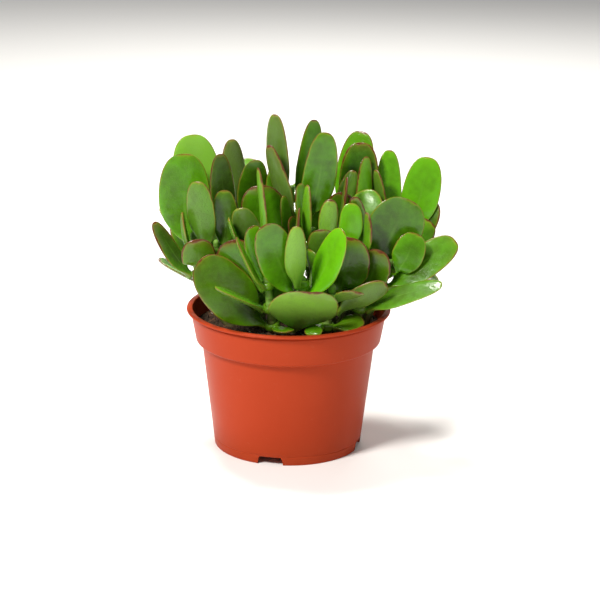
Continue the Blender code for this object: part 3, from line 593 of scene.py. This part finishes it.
rough = step(tree, fine_patches, 0.3, 0.7, 0.12, 0.20)
rough = maths(tree, "ADD", rough, maths(tree, "MULTIPLY", under, 0.16))
join(tree, rough, shader.inputs["Roughness"])
shader.inputs["Specular IOR Level"].default_value = 0.42
shader.inputs["Subsurface Weight"].default_value = 0.10
shader.inputs["Subsurface Radius"].default_value = (0.35, 1.0, 0.12)
shader.inputs["Subsurface Scale"].default_value = 0.003
relief = maths(tree, "ADD", maths(tree, "MULTIPLY", fine_patches, 1.4), maths(tree, "MULTIPLY", grain, 0.5))
relief = maths(tree, "SUBTRACT", relief, maths(tree, "MULTIPLY", dot, maths(tree, "ADD", under, 0.25)))
bumped(tree, shader, relief, 0.00010)

# How each leaf looks: tone from dark to bright (past 1 it pales), warmth, greyness and
# blush of the rim, the left or front leaf of the pair first. The tones were set leaf by leaf
# to how bright each leaf appeared, so besides the leaf's own colour they carry painted light
# and shade. Leaves without a row are older inner ones.
LOOKS = {
    # A70's pale tone is painted light: it brightens the front leaf, whose lower half lies in shade.
    "A70": ((1.30, 0.60, 0.00, 0.6), None),
    "A86": ((0.58, 0.25, 0.05, 0.6), (1.00, 0.30, 0.00, 0.3)),
    "A93": ((1.16, 0.70, 0.15, 0.35), (0.30, 0.40, 0.20, 1.0)),
    "B70": ((0.28, 0.40, 0.00, 0.7), (0.40, 0.30, 0.00, 0.3)),
    "B80": ((0.55, 0.20, 0.45, 0.25), None),
    "B92": ((0.80, 0.70, 0.30, 0.4), (0.80, 0.40, 0.00, 0.5)),
    "C82": ((0.42, 0.25, 0.05, 1.0), None),
    "C103": (None, (0.80, 0.40, 0.00, 0.6)),
    "P101": ((0.50, 0.10, 0.60, 0.25), (0.60, 0.20, 0.05, 1.0)),
    "O110": ((0.35, 0.10, 0.05, 0.4), None),
    "D92": ((0.30, 0.10, 0.40, 0.9), (0.40, 0.45, 0.10, 1.0)),
    "D106": ((0.35, 0.30, 0.10, 0.4), (0.52, 0.25, 0.05, 0.45)),
    "E105": ((0.50, 0.20, 0.12, 0.45), None),
    "F118": ((1.22, 0.25, 0.10, 0.35), None),
    "G114": ((0.32, 0.10, 0.65, 0.7), (0.35, 0.10, 0.70, 0.6)),
    "H104": ((0.60, 0.30, 0.30, 0.3), None),
    "H119": ((0.42, 0.10, 0.60, 0.8), (0.45, 0.20, 0.03, 0.5)),
    "I112": ((0.50, 0.20, 0.10, 0.4), None),
    "I126": ((0.40, 0.10, 0.55, 0.5), (0.50, 0.20, 0.30, 0.5)),
    "J117": (None, (0.72, 0.30, 0.03, 0.6)),
    "K116": (None, (0.42, 0.10, 0.03, 0.9)),
    "L112": ((0.85, 0.50, 0.00, 0.5), (0.50, 0.20, 0.10, 0.5)),
    "L98": (None, (0.80, 0.40, 0.30, 0.6)),
    "M85": (None, (0.42, 0.40, 0.10, 1.0)),
    "M108": ((1.20, 0.40, 0.12, 0.55), (0.95, 0.35, 0.00, 0.3)),
    "N112": ((0.30, 0.30, 0.20, 1.0), (0.40, 0.10, 0.05, 0.9)),
    "T110": ((0.75, 0.30, 0.03, 0.4), (0.80, 0.40, 0.10, 0.7)),
    "W106": ((0.60, 0.30, 0.10, 0.8), (0.80, 0.40, 0.00, 0.8)),
    "W84": (None, (0.35, 0.35, 0.05, 1.0)),
    "R79": (None, (0.25, 0.10, 0.03, 0.25)),
    "R88": ((0.48, 0.25, 0.05, 0.6), (0.80, 0.30, 0.03, 0.8)),
    "R96": ((0.55, 0.20, 0.05, 0.45), (0.45, 0.20, 0.03, 0.4)),
    "S100": ((0.60, 0.40, 0.30, 0.5), (0.35, 0.10, 0.08, 0.9)),
    "S109": ((0.85, 0.30, 0.00, 0.4), (0.95, 0.30, 0.00, 0.4)),
    "U70": (None, (0.25, 0.45, 0.08, 0.6)),
    "U78": (None, (0.50, 0.20, 0.50, 0.5)),
    "U87": ((0.55, 0.30, 0.65, 0.5), None),
    "V78": (None, (0.50, 0.20, 0.45, 0.25)),
}
STATIONS = np.array((0.0, 0.13, 0.32, 0.54, 0.76, 0.93))
MIDDLE = 3
STALK_WIDTH, LEAF_THICKNESS, FLESH_ABOVE, CUP = 4.0, 3.6, 0.42, 0.035
AROUND = 30
FULLER = 1.10


def unit(v):
    """Vectors brought to length one."""
    return v / np.maximum(np.linalg.norm(v, axis=-1, keepdims=True), 1e-9)


def through(stations, values, s):
    """A smooth curve through values at uneven stations."""
    stations, values = np.asarray(stations), np.asarray(values)
    slope = np.gradient(values, stations, axis=0)
    i = np.clip(np.searchsorted(stations, s) - 1, 0, len(stations) - 2)
    h = (stations[i + 1] - stations[i])[:, None]
    t = np.clip((s - stations[i])[:, None] / h, 0.0, 1.0)
    return ((2 * t**3 - 3 * t**2 + 1) * values[i] + (t**3 - 2 * t**2 + t) * h * slope[i]
            + (3 * t**2 - 2 * t**3) * values[i + 1] + (t**3 - t**2) * h * slope[i + 1])


def layers_from(links, start):
    """Point numbers by their distance in edges from a start."""
    seen, layers = {start}, [[start]]
    while layers[-1]:
        after = sorted({j for i in layers[-1] for j in links[i]} - seen)
        seen.update(after)
        layers.append(after)
    return layers[:-1]


def in_order(ring, links):
    """Walk round a ring of points."""
    out = [ring[0]]
    while len(out) < len(ring):
        onward = [j for j in links[out[-1]] if j in ring and j not in out]
        if not onward:
            return None
        out.append(onward[0])
    return out


def read_pair(node):
    """From a pair's solid: the ring's points, and each leaf's foot-to-tip frames, in mm."""
    bm = bmesh.new()
    bm.from_mesh(node.data)
    bmesh.ops.remove_doubles(bm, verts=bm.verts, dist=2e-6)
    bm.verts.ensure_lookup_table()
    points = np.array([v.co for v in bm.verts]) / MM
    links = [[e.other_vert(v).index for e in v.link_edges] for v in bm.verts]
    bm.free()
    first = layers_from(links, 0)[-1][0]
    tip_a = layers_from(links, first)[-1][0]
    tip_b = layers_from(links, tip_a)[-1][0]
    leaves, used = [], set()
    for tip in (tip_a, tip_b):
        layers = layers_from(links, tip)
        rings = [in_order(layer, links) for layer in layers[1:7]]
        if any(r is None or len(r) != 6 for r in rings):
            continue  # a ring with one leaf has no second tip
        leaves.append(frames_of(points, links, tip, rings))
        used.update(i for layer in layers[:6] for i in layer)
    ring_points = points[[i for i in range(len(points)) if i not in used]]
    return ring_points, leaves


def frames_of(points, links, tip, rings):
    """Centre, right, up and full width at each station of one leaf, foot first."""
    margins = [None] * 6

    def span(r, i):
        """Distance straight across a ring from one of its points."""
        return np.linalg.norm(points[r[i]] - points[r[i + 3]])

    start = 1
    margins[start] = max(range(3), key=lambda i: span(rings[start], i))
    for j in [0] + list(range(2, 6)):
        known = 1 if j == 0 else j - 1
        ends = {rings[known][margins[known]], rings[known][margins[known] + 3]}
        ring = rings[j]
        near = [i for i in range(3)
                if any(k in links[ring[i]] or k in links[ring[i + 3]] for k in ends)]
        pick = min if j == 5 else max
        margins[j] = pick(near or range(3), key=lambda i: span(ring, i))
    frames, right, up = [None] * 6, None, None
    for j in [1, 0, 2, 3, 4, 5]:
        ring, m = rings[j], margins[j]
        p = points[[ring[(m + k) % 6] for k in range(6)]]
        middle = (p[0] + p[3]) / 2
        one, other = (p[1] + p[2]) / 2 - middle, (p[4] + p[5]) / 2 - middle
        if up is None:
            rise = one if np.linalg.norm(one) < np.linalg.norm(other) else other
            rise = unit(one - other) if rise is one else unit(other - one)
            across = unit(p[3] - p[0])
        else:
            near = frames[1] if j in (0, 2) else frames[j - 1]
            across = unit(p[3] - p[0])
            across = across if across @ near[1] > 0 else -across
            rise = unit(one - other)
            rise = rise if rise @ near[2] > 0 else -rise
        width = np.linalg.norm(p[3] - p[0])
        up = rise
        frames[j] = (middle - rise * CUP * width * (j < 5), across, rise, width)
    return points[tip], frames[::-1]


def leaf_surface(tip, frames, own, out):
    """Add one fleshy leaf to out: points, faces and the skin's traits at each point."""
    start = frames[0][0]
    length = np.linalg.norm(tip - start)
    f = STATIONS[MIDDLE]
    bend = (frames[MIDDLE][0] - (1 - f) ** 2 * start - f * f * tip) / (2 * f * (1 - f))
    guess = STALK_WIDTH + (frames[MIDDLE][3] - STALK_WIDTH) / 0.954
    broad, slender = 0.64, 0.58
    wide = broad if guess / length > 0.36 else slender
    full = guess if wide == broad else frames[MIDDLE][3]
    s = np.concatenate([[-0.05, 0.0], np.linspace(0.03, 0.78, 24),
                        0.78 + 0.22 * np.sin(np.linspace(0.1, 1.0, 13) * math.pi / 2)])
    t = s[:, None]
    centre = (1 - t) ** 2 * start + 2 * t * (1 - t) * bend + t * t * tip
    run = unit(2 * (1 - t) * (bend - start) + 2 * t * (tip - bend))
    right = through(STATIONS, [fr[1] for fr in frames], np.clip(s, 0, 0.93))
    up = through(STATIONS, [fr[2] for fr in frames], np.clip(s, 0, 0.93))
    up = unit(up - run * np.sum(up * run, axis=1, keepdims=True))
    right = right - run * np.sum(right * run, axis=1, keepdims=True)
    right = unit(right - up * np.sum(right * up, axis=1, keepdims=True))
    grow = np.clip(s / wide, 0, 1)
    grow = grow * grow * (3 - 2 * grow)
    tail = np.clip((s - wide) / (1.0 - wide), 0, 1)
    blunt = (1 - tail**2.6) ** (1 / 2.6)
    half = (STALK_WIDTH + (FULLER * full - STALK_WIDTH) * grow) * blunt / 2
    thick = LEAF_THICKNESS * (1 - 0.30 * np.clip(s, 0, 1)) * (1 - tail**5) ** 0.5
    thick = thick + 0.7 * np.clip(1 - s / 0.13, 0, 1)
    rng = np.random.default_rng(own)
    phase, sway, skew = rng.uniform(0, 6.28), rng.uniform(-0.3, 0.3), rng.uniform(-0.025, 0.025)
    angle = 2 * math.pi * (np.arange(AROUND) + 0.5) / AROUND
    v, above = np.cos(angle), np.sin(angle) > 0
    body = np.where(above, FLESH_ABOVE, -(1 - FLESH_ABOVE)) * (1 - np.abs(v) ** 2.2) ** 0.70
    w = half[:, None]
    wave = 0.020 * full * np.sin(5.2 * t + phase + 1.2 * v) * v**2 * np.clip(t, 0, 1)
    groove = -0.16 * np.exp(-((v / 0.11) ** 2)) * above * np.clip(t * 5, 0, 1) * np.clip(2 - 2.4 * t, 0, 1)
    x = w * v + full * skew * np.sin(math.pi * np.clip(t, 0, 1)) + sway * v * (1 - v * v)
    z = thick[:, None] * body + CUP * 2 * w * v**2 + wave + groove
    grid = centre[:, None] + right[:, None] * x[..., None] + up[:, None] * z[..., None]
    offset, rows = len(out["points"]), len(s) - 1
    out["points"] += grid[:rows].reshape(-1, 3).tolist()
    out["points"] += [centre[0].tolist(), tip.tolist()]
    back, point = offset + rows * AROUND, offset + rows * AROUND + 1
    for k in range(AROUND):
        n = (k + 1) % AROUND
        for i in range(rows - 1):
            a, b = offset + i * AROUND, offset + (i + 1) * AROUND
            out["faces"].append((a + k, a + n, b + n, b + k))
        out["faces"].append((offset + n, offset + k, back))
        last = offset + (rows - 1) * AROUND
        out["faces"].append((last + k, last + n, point))
    rim_mm = np.minimum(half[:rows, None] * (1 - np.abs(v)), (1 - s[:rows, None]) * length + 0 * v)
    side = np.where(above, 0.0, 1.0)
    # Each trait over the skin, then at the two closing points of the foot and the tip.
    for name, values, ends in (("rim_mm", rim_mm, [9.0, 0.0]),
                               ("along", np.clip(s[:rows, None], 0, 1) + 0 * v, [0.0, 1.0]),
                               ("across", v + 0 * rim_mm, [1.0, 0.0]),
                               ("under", side + 0 * rim_mm, [0.5, 0.5])):
        out[name] += values.reshape(-1).tolist() + ends
    return len(out["points"]) - offset


def ring_surface(ring_points, foot_up, out):
    """Add the swollen ring that joins a pair round its shoot."""
    centre = ring_points.mean(axis=0)
    flat = ring_points - centre
    flat = flat - np.outer(flat @ foot_up, foot_up)
    reach = np.linalg.norm(flat, axis=1)
    outer, inner = reach.max() * 0.84, reach.min() * 0.62
    e1 = unit(np.cross(foot_up, (0.31, 0.95, 0.1)))
    e2 = np.cross(foot_up, e1)
    section = [(inner, -1.5), (outer - 1.1, -2.1), (outer - 0.35, -1.7), (outer, -0.8), (outer, 0.8),
               (outer - 0.35, 1.7), (outer - 1.1, 2.1), (inner, 1.5)]
    offset, n = len(out["points"]), 28
    for k in range(n):
        a = 2 * math.pi * k / n
        way = e1 * math.cos(a) + e2 * math.sin(a)
        out["points"] += [(centre + way * r + foot_up * h).tolist() for r, h in section]
    m = len(section)
    for k in range(n):
        a, b = offset + k * m, offset + (k + 1) % n * m
        out["faces"] += [(a + i, b + i, b + (i + 1) % m, a + (i + 1) % m) for i in range(m)]
    for name, value in (("rim_mm", 9.0), ("along", 0.05), ("across", 0.5), ("under", 0.4)):
        out[name] += [value] * (n * m)
    return n * m


def give_traits(piece, out, looks, counts):
    """Store the skin's traits on a piece's points: its place on the leaf and its looks."""
    traits = {k: out[k] for k in ("rim_mm", "along", "across", "under")}
    spread = np.repeat(np.array(looks), counts, axis=0)
    traits.update(zip(("tone", "warmth", "greyness", "blush", "own"), spread.T))
    for key, values in traits.items():
        layer = piece.data.attributes.new(key, "FLOAT", "POINT")
        layer.data.foreach_set("value", np.asarray(values, np.float32))


for name in sorted(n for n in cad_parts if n.startswith("leaves_")):
    ring_points, leaves = read_pair(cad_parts[name])
    leaves.sort(key=lambda leaf: leaf[0][0] + 0.7 * leaf[0][1])
    out = {k: [] for k in ("points", "faces", "rim_mm", "along", "across", "under")}
    looks, counts = [], []
    rng = np.random.default_rng(sum(ord(c) * (i + 3) for i, c in enumerate(name)))
    rows = LOOKS.get(name[7:], ())
    for k, (tip, frames) in enumerate(leaves):
        own = int(rng.integers(1, 100000))
        aged = (rng.uniform(0.3, 0.7), rng.uniform(0.1, 0.4), rng.uniform(0, 0.3), rng.uniform(0.2, 0.7))
        looks.append((*(rows[k] if k < len(rows) and rows[k] else aged), own / 100000))
        counts.append(leaf_surface(tip, frames, own, out))
    middle = np.mean(looks, axis=0)
    looks.append((middle[0] * 0.7, min(middle[1] + 0.3, 1.0), middle[2], 0.0, middle[4]))
    foot_up = leaves[0][1][0][2]
    counts.append(ring_surface(ring_points, foot_up, out))
    pair = finish_mesh(name.replace("leaves_", "leaf_pair_"), out["points"], out["faces"])
    give_traits(pair, out, looks, counts)
    pair.data.materials.append(leaf_skin)
    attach(pair, "root")
    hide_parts(name)

# -------------------------------------------------------- the table, light and camera
# A plain pale table top that reaches far past the view, under soft, even studio light from
# four square lamps, a little stronger from the front left. The camera looks slightly down.
floor_reach = 30.0
bm = bmesh.new()
bmesh.ops.create_grid(bm, x_segments=1, y_segments=1, size=floor_reach)
mesh = bpy.data.meshes.new("floor")
bm.to_mesh(mesh)
bm.free()
floor = bpy.data.objects.new("floor", mesh)
bpy.context.scene.collection.objects.link(floor)
pale, _, shader = node_material("pale_floor")
shader.inputs["Base Color"].default_value = (0.93, 0.93, 0.93, 1.0)
shader.inputs["Roughness"].default_value = 0.9
mesh.materials.append(pale)

world = bpy.data.worlds.new("studio")
bpy.context.scene.world = world
world.use_nodes = True
world.node_tree.nodes["Background"].inputs["Color"].default_value = (1.0, 1.0, 1.0, 1.0)
world.node_tree.nodes["Background"].inputs["Strength"].default_value = 0.20


def lamp(name, place, aim, size, watts):
    """A square soft light turned towards a point, in metres."""
    data = bpy.data.lights.new(name, "AREA")
    data.size = size
    data.energy = watts
    data.color = (1.0, 0.97, 0.91)
    ob = bpy.data.objects.new(name, data)
    ob.location = place
    ob.rotation_euler = (Vector(aim) - Vector(place)).to_track_quat("-Z", "Y").to_euler()
    bpy.context.scene.collection.objects.link(ob)


middle = (axis_x, axis_y, 0.10)
lamp("key", (axis_x - 0.60, axis_y - 0.70, 0.95), middle, 0.27, 18.3)
lamp("fill", (axis_x + 0.8, axis_y - 0.5, 0.5), middle, 0.7, 1.2)
lamp("top", (axis_x - 0.20, axis_y + 0.30, 1.0), middle, 0.22, 10.5)
lamp("back", (axis_x + 0.1, axis_y + 1.0, 0.7), middle, 0.7, 5.0)

camera_data = bpy.data.cameras.new("camera")
camera_data.sensor_width = 36.0
camera_data.lens = 140.0
camera_data.clip_end = 100.0
camera = bpy.data.objects.new("camera", camera_data)
bpy.context.scene.collection.objects.link(camera)
distance, elevation, roll = 1.2, math.radians(16.8), math.radians(0.66)
aim = Vector((axis_x + 0.0058, axis_y, 0.0767))
back = Vector((0.0, -math.cos(elevation), math.sin(elevation)))
camera.location = aim + back * distance
turn = (-back).to_track_quat("-Z", "Y").to_matrix().to_4x4()
turn = Matrix.Rotation(roll, 4, back) @ turn
camera.rotation_euler = turn.to_euler()
bpy.context.scene.camera = camera
bpy.context.scene.view_settings.view_transform = "Standard"
